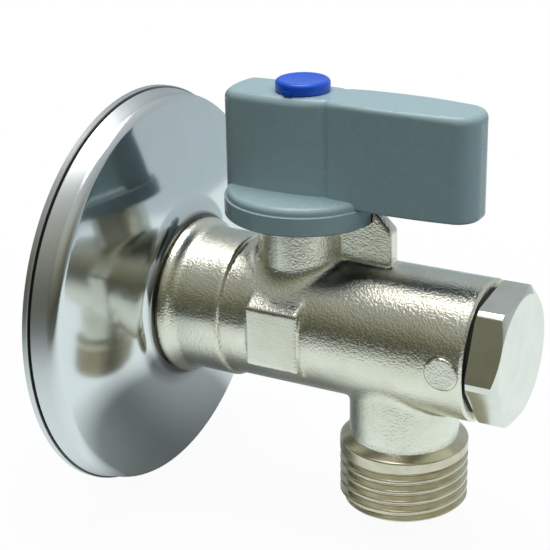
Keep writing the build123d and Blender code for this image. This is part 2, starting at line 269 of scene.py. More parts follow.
def even_normals(piece, sharp=32):
    """Smooth shading in which broad flat faces stay flat up to their rounded edges."""
    bm = bmesh.new()
    bm.from_mesh(piece.data)
    bmesh.ops.dissolve_limit(bm, angle_limit=math.radians(0.5), verts=bm.verts, edges=bm.edges)
    bm.to_mesh(piece.data)
    bm.free()
    shade(piece, sharp)
    weigh = piece.modifiers.new("even normals", "WEIGHTED_NORMAL")
    weigh.keep_sharp = True


def triangles(piece):
    """Number of triangles in a piece's mesh."""
    return sum(len(face.vertices) - 2 for face in piece.data.polygons)


# %% [markdown]
# The rosette is one disc of thin sheet, pressed and spun: a lip against the wall, a groove, a
# slightly coned band, a rolled shoulder, then a nearly straight cone that flares up to a flat
# ring under the body's collar. A spun part asks for the lathe. The cone starts where the
# shoulder's arc has the cone's own slope, because a polished surface shows every small kink.

# %% Wall rosette
sheet, edge = 0.6, 0.12
rim_r = rosette_high.y
depth = rosette_high.x
lip_x, groove_x, band_x = 1.0, 1.32, 3.9
groove_r, band_r, band_front_r = rim_r - 0.72, rim_r - 0.4, rim_r - 0.9
shoulder, cone_tilt, bulge = 2.0, 16.5, 0.25
rolled = arc(band_x, band_front_r - shoulder, shoulder, 84, cone_tilt, 14)
cone_start, cone_end = rolled[-1], (depth - 1.3, 16.5)
cone_pull = ((cone_start[0] + cone_end[0]) / 2 + 2 * bulge, (cone_start[1] + cone_end[1]) / 2)
flare_end = (depth - 0.1, 13.9)
flare_pull = (depth - 0.98, 14.7)
hole_r = 11.0

outside = [(0, rim_r - edge), (edge, rim_r), (lip_x - edge, rim_r), (lip_x, rim_r - edge)]
outside += [(lip_x + 0.05, groove_r), (groove_x - 0.1, groove_r), (groove_x, band_r - 0.08)]
outside += [(groove_x + edge, band_r), (band_x, band_front_r)] + rolled
outside += bend(cone_start, cone_pull, cone_end, 40)[1:]
outside += bend(cone_end, flare_pull, flare_end, 14)[1:]
outside += [(depth, flare_end[1] - 0.2), (depth, hole_r + 0.15), (depth - 0.15, hole_r)]
inside = [(depth - sheet, hole_r), (depth - sheet, flare_end[1] - sheet)]
inside += [(x - sheet, r - 0.1) for x, r in bend(cone_end, cone_pull, cone_start, 24)]
inside += [(band_x, band_front_r - sheet), (0, band_front_r - 0.4)]

rosette = turned("rosette", outside + inside, steps=256)
shade(rosette, 28)
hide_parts("wall_rosette")
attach(rosette, "valve")
print(f"rosette: {triangles(rosette)} triangles, rim radius {rim_r:.1f} mm")

# %% [markdown]
# The body is a brass forging. A forging has no sharp inner corners: metal flows round every
# joint. A field of distances makes that easy. Each plain form (a rod, a pad, a rib) is a
# formula that says how far a point is from its surface, and two of them melt together over a
# chosen width. The field is sampled on a fine grid and its zero level becomes the mesh.

# %% Field tools
voxel = 0.27


def lattice(corner, far, step):
    """Coordinates of the grid points between two corners."""
    lines = [np.arange(a, b, step) for a, b in zip(corner, far)]
    return np.meshgrid(*lines, indexing="ij", sparse=True)


def between(value, low, high):
    """Distance to the slab between two planes."""
    return np.maximum(low - value, value - high)


def common(a, b, soft):
    """What two fields share, with the edge rounded."""
    a, b = a + soft, b + soft
    outer = np.hypot(np.maximum(a, 0), np.maximum(b, 0))
    return np.minimum(np.maximum(a, b), 0) + outer - soft


def melted(a, b, width):
    """Both fields together, with the inner corner filled over a width."""
    share = np.clip(0.5 + 0.5 * (b - a) / width, 0, 1)
    return b + (a - b) * share - width * share * (1 - share)


def skin(name, field, corner, size):
    """Mesh of the zero level of a field sampled from a corner, in millimetres."""
    grid = openvdb.FloatGrid(10 * size)
    grid.copyFromArray(np.ascontiguousarray(field, dtype=np.float32))
    points, quads = grid.convertToQuads(isovalue=0.0)[:2]
    bm = bmesh.new()
    verts = [bm.verts.new((Vector(point) * size + corner) * MM) for point in points.tolist()]
    for quad in quads.tolist():
        bm.faces.new([verts[i] for i in quad])
    return close_up(name, bm)


# %% [markdown]
# The blank is what leaves the forging press: the barrel with its collar and bead, the round
# boss for the stem, the outlet neck, two spanner pads, the stop rib and a round mark left by
# the tool. The widths of melting are the fillets one sees: wide at the bead and the boss,
# narrower at the neck and the pads.

# %% Forged blank
barrel_r, collar_r, bead_r = 11.38, 12.0, body_high.y
barrel_end, collar_end, bead_end = body_high.x, depth + 11.2, depth + 2.1
boss_r, boss_top = 7.5, 19.2
neck_r, shoulder_z = 8.9, -17.8
pad_half, pad_y, pad_edge_z = 4.6, 11.9, 4.9
rib_half, rib_start, rib_end, rib_top = 1.35, stem_x + 6.4, stem_x + 15.9, body_high.z
rib_slope = 3.1
spot_x, spot_r, spot_y = barrel_end - 3.2, 2.6, 11.5

corner = Vector((depth - 1, -15, shoulder_z - 1))
far = Vector((barrel_end + 2.5, 15, rib_top + 1))
x, y, z = lattice(corner, far, voxel)
from_inlet = np.hypot(y, z)
from_stem = np.hypot(x - stem_x, y)
from_outlet = np.hypot(x - outlet_x, y)

collar = common(from_inlet - collar_r, between(x, depth, collar_end), 0.3)
bead = common(from_inlet - bead_r, between(x, depth, bead_end), 0.9)
barrel = common(from_inlet - barrel_r, between(x, depth, barrel_end + 1), 0.2)
blank = melted(melted(collar, bead, 1.6), barrel, 0.3)
boss = common(from_stem - boss_r, between(z, 0, boss_top), 0.3)
blank = melted(blank, boss, 1.6)
neck = common(from_outlet - neck_r, between(z, shoulder_z, 0), 0.2)
blank = melted(blank, neck, 0.9)
print(f"field of {blank.shape} cells, {voxel} mm apart")

# %% [markdown]
# The pad's bevel and the rib's sloped end are planes: a direction and a distance. A plane
# joins the other sides of its form in the same way as a slab does.

# %% Pads, rib and tool mark on the blank
bevel_rise, bevel_depth = 1.7, 2.6
bevel_length = math.hypot(bevel_rise, bevel_depth)
bevel = ((abs(y) - pad_y) * bevel_rise + (abs(z) - pad_edge_z) * bevel_depth) / bevel_length
pad = common(common(abs(y) - pad_y, bevel, 0.3), abs(x - stem_x) - pad_half, 0.35)
blank = melted(blank, pad, 0.5)
slope = (x - rib_end + z - rib_top + rib_slope) / math.sqrt(2)
rib = common(common(abs(y) - rib_half, between(x, rib_start, rib_end), 0.35), slope, 0.3)
rib = common(rib, between(z, 0, rib_top), 0.3)
blank = melted(blank, rib, 0.9)
spot = common(np.hypot(x - spot_x, z) - spot_r, between(y, -spot_y, 0), 0.1)
blank = melted(blank, spot, 0.25)

body = skin("forged_body", blank, corner, voxel)
print(f"blank: {triangles(body)} triangles")

# %% [markdown]
# Machining comes after forging, and cuts crisp edges into the soft blank: the long bore with
# its ball chamber and plug thread, the outlet bore, the stepped stem bore, and the faced and
# chamfered end. Each cutter is a turned solid that is taken away. A last decimation removes
# triangles where the skin is flat and leaves them where it bends.

# %% Machined body
inlet_bore, chamber_r, plug_bore, outlet_bore = 5.5, 8.4, 9.0, 6.5
seat_x, plug_thread_x = stem_x - 7.7, barrel_end - 6.7
stem_bore, gland_bore, gland_z = 4.05, 6.0, 13.4
past = 3.0
long_bore = [(depth - past, 0), (depth - past, inlet_bore), (seat_x, inlet_bore)]
long_bore += [(seat_x, chamber_r), (plug_thread_x, chamber_r), (plug_thread_x, plug_bore)]
long_bore += [(barrel_end + past, plug_bore), (barrel_end + past, 0)]
stem_hole = [(0, 0), (0, stem_bore), (gland_z, stem_bore), (gland_z, gland_bore)]
stem_hole += [(boss_top + past, gland_bore), (boss_top + past, 0)]
outlet_hole = [(0, 0), (0, outlet_bore), (shoulder_z - past, outlet_bore), (shoulder_z - past, 0)]
facing = [(barrel_end, 0), (barrel_end, barrel_r - 0.4), (barrel_end - 0.8, barrel_r + 0.4)]
facing += [(barrel_end - 0.8, barrel_r + past), (barrel_end + past, barrel_r + past)]
facing += [(barrel_end + past, 0)]

combine(body, turned("long_bore", long_bore), "DIFFERENCE")
combine(body, turned("stem_hole", stem_hole, "Z", stem_x), "DIFFERENCE")
combine(body, turned("outlet_hole", outlet_hole, "Z", outlet_x), "DIFFERENCE")
combine(body, turned("facing", facing), "DIFFERENCE")
thin = body.modifiers.new("thin", "DECIMATE")
thin.ratio = 0.55
settle(body)
shade(body, 40)
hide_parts("valve_body")
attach(body, "valve")
print(f"body: {triangles(body)} triangles")

# %% [markdown]
# A thread could be swept along a helix, but its ends are then hard to close. Here it is a
# turned surface whose radius also depends on the angle: the groove's place moves on by one
# pitch in one turn. An envelope gives the outline that the thread fades into, so the run-out
# and the chamfer come by themselves, and the bore closes the solid.

# %% Thread tool
def threaded(name, envelope, grooves, pitch, depth_mm, bore, axis, axis_x=0.0, row=0.09):
    """Hollow turned solid with a right-hand thread between two places along its axis."""
    steps = 150
    ends = envelope[0][0], envelope[-1][0]
    count = int(abs(ends[1] - ends[0]) / row)
    along = np.linspace(*ends, count)
    known = np.array(sorted(envelope))
    angle = np.linspace(0, math.tau, steps, endpoint=False)
    turn = (along[:, None] / pitch - angle[None, :] / math.tau) % 1
    wave = np.abs(2 * turn - 1)
    groove = np.clip(1.35 * wave - 0.2, 0, 1)
    groove = groove * groove * (3 - 2 * groove)
    low, high = sorted(grooves)
    fade = np.clip((along - low) / pitch, 0, 1) * np.clip((high - along) / (pitch / 2), 0, 1)
    plain = np.interp(along, known[:, 0], known[:, 1])
    radius = plain[:, None] - depth_mm * groove * fade[:, None]
    radius = np.vstack([radius, np.full((2, steps), bore)])
    along = np.concatenate([along, [ends[1], ends[0]]])
    side, rise = radius * np.cos(angle), radius * np.sin(angle)
    stack = np.broadcast_to(along[:, None], radius.shape)
    points = np.stack((stack, side, rise) if axis == "X" else (side, rise, stack), axis=-1)
    points[..., 0] += axis_x
    bm = bmesh.new()
    verts = [bm.verts.new(point) for point in (points.reshape(-1, 3) * MM).tolist()]
    rows = len(along)
    for i in range(rows):
        for j in range(steps):
            ring, column = (i + 1) % rows, (j + 1) % steps
            quad = (i * steps + j, i * steps + column, ring * steps + column, ring * steps + j)
            bm.faces.new([verts[k] for k in quad])
    return close_up(name, bm)


# %% [markdown]
# Both ends of the valve carry the same half-inch pipe thread. On the outlet a plain band
# stays above the first groove; the inlet tail has a reduced neck behind the collar, where the
# cutting tool ran out.

# %% Outlet and inlet threads
pipe_pitch, pipe_depth = 1.814, 1.0
outlet_end, tail_end, lead = body_low.z, body_low.x, 1.1
tail_neck_r, tail_neck_x = 9.2, depth - 3.2
outlet_outline = [(shoulder_z + 0.8, neck_r), (shoulder_z, pipe_r - 0.12)]
outlet_outline += [(shoulder_z - 0.15, pipe_r), (outlet_end + lead, pipe_r)]
outlet_outline += [(outlet_end, pipe_r - lead)]
tail_outline = [(depth, tail_neck_r), (tail_neck_x, tail_neck_r)]
tail_outline += [(tail_neck_x - pipe_r + tail_neck_r, pipe_r), (tail_end + lead, pipe_r)]
tail_outline += [(tail_end, pipe_r - lead)]

outlet_thread = threaded(
    "outlet_thread", outlet_outline, (shoulder_z - 1.5, outlet_end - pipe_pitch),
    pipe_pitch, pipe_depth, outlet_bore, "Z", outlet_x,
)
inlet_tail = threaded(
    "inlet_tail", tail_outline, (tail_neck_x, tail_end - pipe_pitch),
    pipe_pitch, pipe_depth, inlet_bore, "X",
)
for piece in (outlet_thread, inlet_tail):
    shade(piece, 50)
    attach(piece, "valve")
    print(f"{piece.name}: {triangles(piece)} triangles")

# %% [markdown]
# The lever is moulded in one with a round shelf and a skirt that hides the stop. Its plan has
# two shallow bows on each side that meet in a narrow crease. Moulded plastic is rounded
# differently on every edge, and a field takes the roundings one after another: a wide one at
# the tip, a soft one on top of the hub, a tight one along the lever, hardly any below.

# %% Lever bar
lever_low, lever_top = 21.3, handle_high.z
tip_x = handle_high.x - stem_x
hub_r, hub_half, crease_x, crease_half = 12.6, 4.7, 5.8, 4.5
hub_x = -math.sqrt(hub_r**2 - hub_half**2)
tip_round, hub_round, bow_rise = 3.8, 1.4, 0.7
crease_depth, crease_width = 0.32, 0.5
fine = 0.22

corner = Vector((stem_x - hub_r - 1, -7, lever_low - 1))
far = Vector((stem_x + tip_x + 1, 7, lever_top + 1))
x, y, z = lattice(corner, far, fine)
x = x - stem_x


def bow(start, end, half_start, half_end):
    """Half width of the bar along one bowed stretch of its sides."""
    t = (x - start) / (end - start)
    return half_start + (half_end - half_start) * t + bow_rise * np.maximum(4 * t * (1 - t), 0)


hub_bow = bow(hub_x, crease_x, hub_half, crease_half)
lever_bow = bow(crease_x, tip_x - tip_round, crease_half, crease_half)
crease = crease_depth * np.exp(-(((x - crease_x) / crease_width) ** 2))
side = melted(abs(y) - hub_bow, abs(y) - lever_bow, 0.12) + crease
hub_end = np.hypot(np.minimum(x, 0), y) - hub_r
plan = common(common(side, x - tip_x, tip_round), hub_end, hub_round)
top_round = np.interp(x, (2.0, 9.0, 20.0, tip_x - 2.0), (1.5, 0.8, 0.8, 1.3))
bar = common(common(plan, z - lever_top, top_round), lever_low - z, 0.5)
handle = skin("lever_handle", bar, corner, fine)
print(f"bar: {triangles(handle)} triangles")

# %% [markdown]
# Shelf and skirt are turned, joined to the bar, and then hollowed as the mould does: the
# round cavity, the quarter window that leaves room for the stop rib, the pockets that keep
# the walls even, the square socket for the stem and the recess under the cap.

# %% Shelf, skirt and hollows
skirt_low, roof, shelf_top = handle_low.z, 20.6, 22.6
skirt_r, skirt_wall, shelf_r, shelf_round = 12.75, 2.2, 12.4, 1.0
cavity_r = skirt_r - skirt_wall
skirt = [(roof, 0), (roof, cavity_r), (skirt_low, cavity_r)]
skirt += [(skirt_low, skirt_r - 0.2), (skirt_low + 0.2, skirt_r)]
skirt += [(lever_low - edge, skirt_r), (lever_low, skirt_r - edge), (lever_low, shelf_r)]
skirt += arc(shelf_top - shelf_round, shelf_r - shelf_round, shelf_round, 90, 0, 10)
skirt += [(shelf_top, shelf_r - shelf_round - 0.06), (shelf_top, 0)]
combine(handle, turned("skirt", skirt, "Z", stem_x, 192), "UNION")

gap, screw_hole_r, recess_r = 1.75, 1.55, 3.5
wall, past = 1.8, 1.0
pocket, ceiling = crease_half - wall, lever_top - 2.0
socket, socket_end, web, recess_z = 2.8, 5.8, 29.5, 31.5
pocket_end = math.sqrt(cavity_r**2 - pocket**2)
front_ends = stem_x + socket_end, stem_x + pocket_end
rear_ends = stem_x - pocket_end, stem_x - socket_end
lever_ends = stem_x + skirt_r + 0.3, handle_high.x - wall


def drilled(name, radius, low, high, steps):
    """Round cutter about the stem's axis between two heights."""
    return turned(name, [(low, 0), (low, radius), (high, radius), (high, 0)], "Z", stem_x, steps)


hollows = [
    block("window", (stem_x - gap, stem_x + 30), (-gap, 30), (skirt_low - 5, roof)),
    block("front_pocket", front_ends, (-pocket, pocket), (roof - past, ceiling)),
    block("rear_pocket", rear_ends, (-pocket, pocket), (roof - past, ceiling)),
    block("lever_pocket", lever_ends, (-pocket, pocket), (lever_low - past, ceiling)),
    block("socket", (stem_x - socket, stem_x + socket), (-socket, socket), (roof - past, web)),
    drilled("screw_hole", screw_hole_r, web - past, recess_z + past, 48),
    drilled("recess", recess_r, recess_z, lever_top + past, 96),
]
for hollow in hollows:
    combine(handle, hollow, "DIFFERENCE")
shade(handle, 30)
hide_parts("handle")
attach(handle, "lever")
print(f"handle: {triangles(handle)} triangles")

# %% [markdown]
# The cap that hides the handle's screw is a small glossy button: a spigot, a flange with a
# rounded rim and a top that is dished a little inside the rim. It shows the stub of its
# moulding gate on the near side of the rim, so a small block is joined on there.

# %% Handle cap
cap_r, spigot_r = cap_high.y, 3.45
cap_top = cap_high.z
rim = 0.65
button = [(cap_low.z, 0), (cap_low.z, spigot_r - 0.2), (cap_low.z + 0.2, spigot_r)]
button += [(lever_top, spigot_r), (lever_top, cap_r - 0.2), (lever_top + 0.2, cap_r)]
button += arc(cap_top - rim, cap_r - rim, rim, 90, -10, 9)
button += bend((cap_top - 0.1, cap_r - 1.5), (cap_top - 0.2, 2.0), (cap_top - 0.2, 0.0), 8)
cap = turned("cap", button, "Z", stem_x, 128)
gate_x, gate_y = (stem_x - 1.1, stem_x + 0.3), (-cap_r - 0.22, -cap_r + 1.0)
gate_z = lever_top + 0.05, lever_top + 0.75
combine(cap, block("gate", gate_x, gate_y, gate_z), "UNION")
shade(cap, 35)
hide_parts("handle_cap")
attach(cap, "lever")
print(f"cap: {triangles(cap)} triangles")

# %% [markdown]
# The filter plug is turned from hexagon bar. The lathe leaves narrow round lands on the six
# corners and a coned chamfer round the end face, which is what two solids share: a prism and a
# turned blank. A small bevel on the remaining edges catches the light.

# %% Plug head
hex_flats, hex_corner_r, hex_turn = 20.0, 11.25, 187.0
head_x, face_x, face_r = barrel_end + 0.5, plug_high.x, 9.9
bm = bmesh.new()
hexagon = []
radius = hex_flats / 2 / math.cos(math.radians(30))
for k in range(6):
    angle = math.radians(hex_turn + 60 * k)
    corner = Vector((head_x, radius * math.cos(angle), radius * math.sin(angle)))
    hexagon.append(bm.verts.new(corner * MM))
raised = bmesh.ops.extrude_face_region(bm, geom=[bm.faces.new(hexagon)])["geom"]
lifted = [part for part in raised if isinstance(part, bmesh.types.BMVert)]
bmesh.ops.translate(bm, vec=((face_x - head_x) * MM, 0, 0), verts=lifted)
head = close_up("plug_head", bm)
coned = (hex_corner_r - face_r) * math.tan(math.radians(30))
bar = [(head_x, 0), (head_x, hex_corner_r - 0.3), (head_x + 0.15, hex_corner_r)]
bar += [(face_x - coned, hex_corner_r), (face_x, face_r), (face_x, 0)]
combine(head, turned("bar", bar, steps=240), "INTERSECT")
soften = head.modifiers.new("edge", "BEVEL")
soften.width, soften.segments = edge * MM, 2
soften.limit_method, soften.angle_limit = "ANGLE", math.radians(20)
soften.harden_normals = False
settle(head)
even_normals(head, 40)
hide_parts("filter_plug")
print(f"plug head: {triangles(head)} triangles")

# %% [markdown]
# Behind the head the plug has a fine thread of one millimetre pitch, hollowed into a cup for
# the screen. It hides in the body at rest and shows when the plug is screwed out, so it is
# made like the other threads. The bottom of the cup is a disc.

# %% Plug shank
shank_r, cup_r, tip = 8.95, 6.8, plug_low.x
plug_pitch, plug_depth, plug_lead = 1.0, 0.5, 0.5
floor_x, floor_r = head_x - 1.5, cup_r + 0.3
shank_outline = [(head_x, shank_r), (tip + plug_lead, shank_r), (tip, shank_r - plug_lead)]
shank = threaded(
    "plug_shank", shank_outline, (head_x - 0.6, tip - plug_pitch),
    plug_pitch, plug_depth, cup_r, "X", row=0.06,
)
disc = [(floor_x, 0), (floor_x, floor_r), (head_x, floor_r), (head_x, 0)]
combine(shank, turned("plug_floor", disc), "UNION")
shade(shank, 40)
for piece in (head, shank):
    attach(piece, "plug")
print(f"plug shank: {triangles(shank)} triangles")

# %% [markdown]
# The screen is a rolled sheet with rows of punched holes. A grid of cells round a tube, each
# inset once and its middle taken out, gives the holes; a thickness makes it a sheet again.

# %% Filter screen
screen_r, screen_wall, hole_share = screen_high.y, 0.4, 0.62
plain_low, plain_high = 2.2, 5.6
columns, rows = 40, 14
stations = [screen_low.x]
stations += np.linspace(screen_low.x + plain_low, screen_high.x - plain_high, rows + 1).tolist()
stations += [screen_high.x]
bm = bmesh.new()
rings = []
angles = np.linspace(0, math.tau, columns, endpoint=False)
for station in stations:
    circle = [Vector((station, screen_r * math.cos(a), screen_r * math.sin(a))) for a in angles]
    rings.append([bm.verts.new(point * MM) for point in circle])
cells = []
for i in range(len(rings) - 1):
    for j in range(columns):
        k = (j + 1) % columns
        cell = bm.faces.new((rings[i][j], rings[i][k], rings[i + 1][k], rings[i + 1][j]))
        if 0 < i < len(rings) - 2:
            cells.append(cell)
bmesh.ops.recalc_face_normals(bm, faces=bm.faces)
cell_width = math.tau * screen_r / columns
bmesh.ops.inset_individual(bm, faces=cells, thickness=cell_width * (1 - hole_share) / 2 * MM)
bmesh.ops.delete(bm, geom=cells, context="FACES")
screen = close_up("screen", bm)
thicken = screen.modifiers.new("wall", "SOLIDIFY")
thicken.thickness, thicken.offset = screen_wall * MM, -1
settle(screen)
shade(screen, 40)
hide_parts("filter_screen")
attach(screen, "filter")
print(f"screen: {triangles(screen)} triangles, {len(cells)} holes")

# %% [markdown]
# Finishes are node materials, and short helpers keep them readable. `start` begins a Principled
# shader, `add` makes a node and fills or links its sockets by name, `reckon` and `vector` do
# sums, `blend` mixes two colours and `spread` maps one range to another. Object coordinates are
# in metres here, so a grain of a quarter of a millimetre has a scale of four thousand.

# %% Node tools
def start(name, metallic, roughness, colour):
    """New material with a Principled shader; returns material, node tree and shader."""
    material = bpy.data.materials.new(name)
    material.use_nodes = True
    shader = material.node_tree.nodes["Principled BSDF"]
    shader.inputs["Metallic"].default_value = metallic
    shader.inputs["Roughness"].default_value = roughness
    shader.inputs["Base Color"].default_value = (*colour, 1)
    return material, material.node_tree, shader


def fill(tree, sockets, values):
    """Sets sockets by name, from a number or from another node's output."""
    for name, value in values.items():
        if isinstance(value, bpy.types.NodeSocket):
            tree.links.new(value, sockets[name])
        else:
            sockets[name].default_value = value


def add(tree, kind, values=None, **settings):
    """Adds a shader node with its settings and sockets."""
    made = tree.nodes.new("ShaderNode" + kind)
    for name, value in settings.items():
        setattr(made, name, value)
    fill(tree, made.inputs, values or {})
    return made


def reckon(tree, operation, *values):
    """Result of a Math node; each value is a number or another node's output."""
    return add(tree, "Math", dict(enumerate(values)), operation=operation).outputs["Value"]


def vector(tree, operation, *values):
    """Result of a Vector Math node: a number for a length or distance, else a vector."""
    made = add(tree, "VectorMath", dict(enumerate(values)), operation=operation)
    return made.outputs["Value" if operation in ("LENGTH", "DISTANCE") else "Vector"]


def axes(tree, value):
    """The three outputs X, Y and Z of a vector."""
    return add(tree, "SeparateXYZ", {"Vector": value}).outputs


def blend(tree, factor, a, b):
    """Colour between a and b by a factor."""
    given = {"Factor": factor, "A": a, "B": b}
    return add(tree, "Mix", given, data_type="RGBA").outputs["Result"]


def spread(tree, value, low, high, start_at=0.3, end_at=0.7):
    """Maps a value to a range; left alone, it takes the middle of a noise."""
    given = {"Value": value, "From Min": start_at, "From Max": end_at}
    given |= {"To Min": low, "To Max": high}
    return add(tree, "MapRange", given).outputs["Result"]


# %% [markdown]
# On top of these come the parts that most finishes share: a grain of noise, a tint between two
# colours and a relief. A relief is bump: it tilts the light on a surface and leaves its mesh as
# it is, which suits dents far smaller than a triangle.

# %% Finish tools
def grain(tree, size_mm, detail=3.0, rough=0.55):
    """Noise with lumps of a size, as a value from 0 to 1."""
    given = {"Vector": add(tree, "TexCoord").outputs["Object"], "Scale": 1 / (size_mm * MM)}
    given |= {"Detail": detail, "Roughness": rough}
    return add(tree, "TexNoise", given).outputs["Fac"]


def tint(tree, value, low, high):
    """Colour between two, by a value."""
    ramp = add(tree, "ValToRGB", {"Fac": value})
    ramp.color_ramp.elements[0].color = (*low, 1)
    ramp.color_ramp.elements[1].color = (*high, 1)
    ramp.color_ramp.elements[0].position = 0.3
    ramp.color_ramp.elements[1].position = 0.7
    return ramp.outputs["Color"]


def relief(tree, height, depth_mm, strength=1.0, under=None):
    """Bump of a depth; a second bump can lie under it."""
    given = {"Height": height, "Distance": depth_mm * MM, "Strength": strength}
    if under is not None:
        given["Normal"] = under
    return add(tree, "Bump", given).outputs["Normal"]


def dress(piece, material):
    """Gives a piece one material all over."""
    piece.data.materials.clear()
    piece.data.materials.append(material)


# %% [markdown]
# Shot-blasted nickel is bright metal covered with tiny dents. Roughness alone would only blur
# it; a fine relief breaks reflections into the speckle that blasted plating has. It is weaker
# on the spanner pads, which the press has flattened. A fine ring of painted shade runs round
# the tool's mark. Larger blotches vary the warmth of the plating, and the inner corners are
# darkened with painted shade.

# %% Blasted nickel
blasted, tree, shader = start("blasted_nickel", 1.0, 0.24, (0.70, 0.68, 0.60))
where = add(tree, "TexCoord").outputs["Object"]
along = axes(tree, where)
geometry = add(tree, "NewGeometry").outputs

facing_y = reckon(tree, "ABSOLUTE", axes(tree, geometry["Normal"])["Y"])
past_pads = reckon(tree, "GREATER_THAN", along["X"], (stem_x + pad_half) * MM)
calm = reckon(tree, "MAXIMUM", spread(tree, facing_y, 1.0, 0.4, 0.97, 0.995), past_pads)
dents = relief(tree, grain(tree, 0.37, 2.4, 0.64), 0.095, calm)

# Painted shade: a dark ring in the base colour round the tool's mark stands in for its edge's
# shade.
mark_centre, mark_line_r, line_half = (spot_x * MM, 0, 0), (spot_r + 0.12) * MM, 0.07 * MM
from_mark = vector(tree, "DISTANCE", vector(tree, "MULTIPLY", where, (1, 0, 1)), mark_centre)
line = reckon(tree, "COMPARE", from_mark, mark_line_r, line_half)
line = reckon(tree, "MULTIPLY", line, reckon(tree, "LESS_THAN", along["Y"], 0.0))

plating = tint(tree, grain(tree, 7.0, 4.0), (0.70, 0.68, 0.56), (0.80, 0.79, 0.70))
# Painted shade: concave corners, found by pointiness, are darkened in the base colour.
corner_shade = spread(tree, geometry["Pointiness"], 0.35, 1.0, 0.42, 0.49)
corner_shaded_plating = blend(tree, corner_shade, (0.20, 0.18, 0.13, 1), plating)
fill(tree, shader.inputs, {
    "Base Color": blend(tree, line, corner_shaded_plating, (0.36, 0.34, 0.28, 1)),
    "Roughness": spread(tree, grain(tree, 1.2), 0.12, 0.19),
    "Normal": relief(tree, grain(tree, 3.0), 0.02, under=dents),
})
dress(body, blasted)
print("blasted nickel on", body.name)

# %% [markdown]
# Turned metal carries fine rings from the tool. Rings round an axis are a noise of one
# dimension, read at the distance from the axis on a face, or along the axis on a thread.

# %% Turned metal
def turned_metal(name, colour, stain, roughness, ring_mm, ring_depth, axis, axis_x=0.0):
    """Bright metal with tool rings about an axis."""
    material, tree, shader = start(name, 1.0, roughness, colour)
    where = add(tree, "TexCoord").outputs["Object"]
    centred = vector(tree, "SUBTRACT", where, (axis_x * MM, 0, 0))
    flat = vector(tree, "MULTIPLY", centred, (0, 1, 1) if axis == "X" else (1, 1, 0))
    ring_at = reckon(tree, "ADD", vector(tree, "LENGTH", flat), axes(tree, where)[axis])
    given = {"W": ring_at, "Scale": 1 / (ring_mm * MM), "Detail": 2.0}
    rings = add(tree, "TexNoise", given, noise_dimensions="1D").outputs["Fac"]
    fill(tree, shader.inputs, {
        "Base Color": tint(tree, grain(tree, 4.0, 4.0), stain, colour),
        "Roughness": spread(tree, grain(tree, 1.5), roughness * 0.93, roughness * 1.10),
        "Normal": relief(tree, rings, ring_depth),
    })
    return material


bright = (0.80, 0.79, 0.73), (0.72, 0.71, 0.64), 0.13, 0.10, 0.0015
freshly_cut = (0.68, 0.63, 0.50), (0.53, 0.48, 0.35), 0.22, 0.15, 0.006
plug_metal = turned_metal("bright_nickel", *bright, "X")
dress(head, plug_metal)
dress(shank, plug_metal)
dress(outlet_thread, turned_metal("cut_outlet", *freshly_cut, "Z", outlet_x))
dress(inlet_tail, turned_metal("cut_inlet", *freshly_cut, "X"))
print("turned metal on the plug and the threads")

# %% [markdown]
# The rosette is polished on its cone and left satin on its band, where the lathe's abrasive
# ran along the axis. One material does both: its roughness follows the distance from the wall.
# The narrow groove behind the lip is painted grey as the shade inside it, and the seam round
# the body's collar is painted dark as shade.

# %% Spun chrome
polished, satin, satin_fade = 0.11, 0.38, 1.2
chrome = (0.72, 0.74, 0.75), (0.70, 0.72, 0.73), polished, 0.12, 0.0010
spun = turned_metal("spun_chrome", *chrome, "X")
tree, shader = spun.node_tree, spun.node_tree.nodes["Principled BSDF"]
bare = shader.inputs["Base Color"].links[0].from_socket
where = add(tree, "TexCoord").outputs["Object"]
from_wall = axes(tree, where)["X"]
from_axis = vector(tree, "LENGTH", vector(tree, "MULTIPLY", where, (0, 1, 1)))

finish = spread(tree, from_wall, satin, polished, band_x * MM, (band_x + satin_fade) * MM)
# Painted shade: the groove behind the lip is coloured grey.
groove_middle, groove_half = (lip_x + groove_x) / 2 * MM, (groove_x - lip_x) / 2 * MM
groove_shade = reckon(tree, "COMPARE", from_wall, groove_middle, groove_half)
groove_shaded = blend(tree, groove_shade, bare, (0.22, 0.22, 0.22, 1))
# Painted shade: the flat ring under the body's collar is coloured dark.
clear_of_seam_shade = spread(tree, from_axis, 0.10, 1.0, 13.6 * MM, 14.3 * MM)
seam_shaded = blend(tree, clear_of_seam_shade, (0.05, 0.045, 0.03, 1), groove_shaded)
fill(tree, shader.inputs, {"Base Color": seam_shaded, "Roughness": finish})
dress(rosette, spun)
print("spun chrome on the rosette")

# %% [markdown]
# The lever is satin plastic in a cool grey. Its mould was lightly etched, so the surface has a
# very fine grain, long shallow waves and a little unevenness in gloss from handling. The cap
# is the same plastic family, smoother and deep blue.

# %% Moulded plastics
def moulded(name, colour, other, roughness, etch_mm, etch_depth):
    """Satin plastic with an etched grain and uneven gloss."""
    material, tree, shader = start(name, 0.0, roughness, colour)
    shader.inputs["IOR"].default_value = 1.49
    waves = relief(tree, grain(tree, 6.0, 2.0), 0.015)
    fill(tree, shader.inputs, {
        "Base Color": tint(tree, grain(tree, 9.0, 5.0), other, colour),
        "Roughness": spread(tree, grain(tree, 2.0), roughness - 0.06, roughness + 0.08),
        "Normal": relief(tree, grain(tree, etch_mm, 2.0), etch_depth, under=waves),
    })
    return material


grey, darker_grey = (0.325, 0.445, 0.48), (0.315, 0.43, 0.465)
blue, darker_blue = (0.009, 0.098, 0.70), (0.008, 0.085, 0.62)
dress(handle, moulded("grey_plastic", grey, darker_grey, 0.24, 0.18, 0.002))
dress(cap, moulded("blue_plastic", blue, darker_blue, 0.20, 0.25, 0.002))
print("plastics on the handle and the cap")

# %% [markdown]
# The pieces inside keep their CAD shapes. They show through the bores, in the gap under the
# handle and when the plug comes out, so each has a finish of its own: machined brass, a
# chromed ball, white seat rings, black seals, plated steel.

